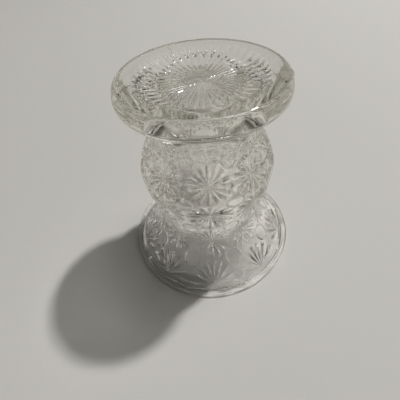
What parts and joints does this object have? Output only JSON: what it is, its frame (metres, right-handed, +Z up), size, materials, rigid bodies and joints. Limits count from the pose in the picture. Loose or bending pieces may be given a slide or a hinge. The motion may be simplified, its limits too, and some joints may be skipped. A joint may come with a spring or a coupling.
{
  "type": "vase",
  "caption": "Small clear cut-crystal vase standing on its flared mouth, with a daisy-patterned bulging bowl, a panelled collar and a thick rayed foot on top.",
  "frame": {"origin": "centre of the mouth's resting plane, because the vase stands upside down on its mouth", "axes": "+Z up along the vase's axis, from the mouth to the foot; turn it 180 degrees about X and raise it by its height to stand it on its foot"},
  "size_m": [0.054, 0.054, 0.0587],
  "materials": {
    "crystal": "fire-polished"
  },
  "bodies": {
    "root": {"bowl": "crystal", "collar": "crystal", "foot": "crystal"}
  },
  "joints": []
}
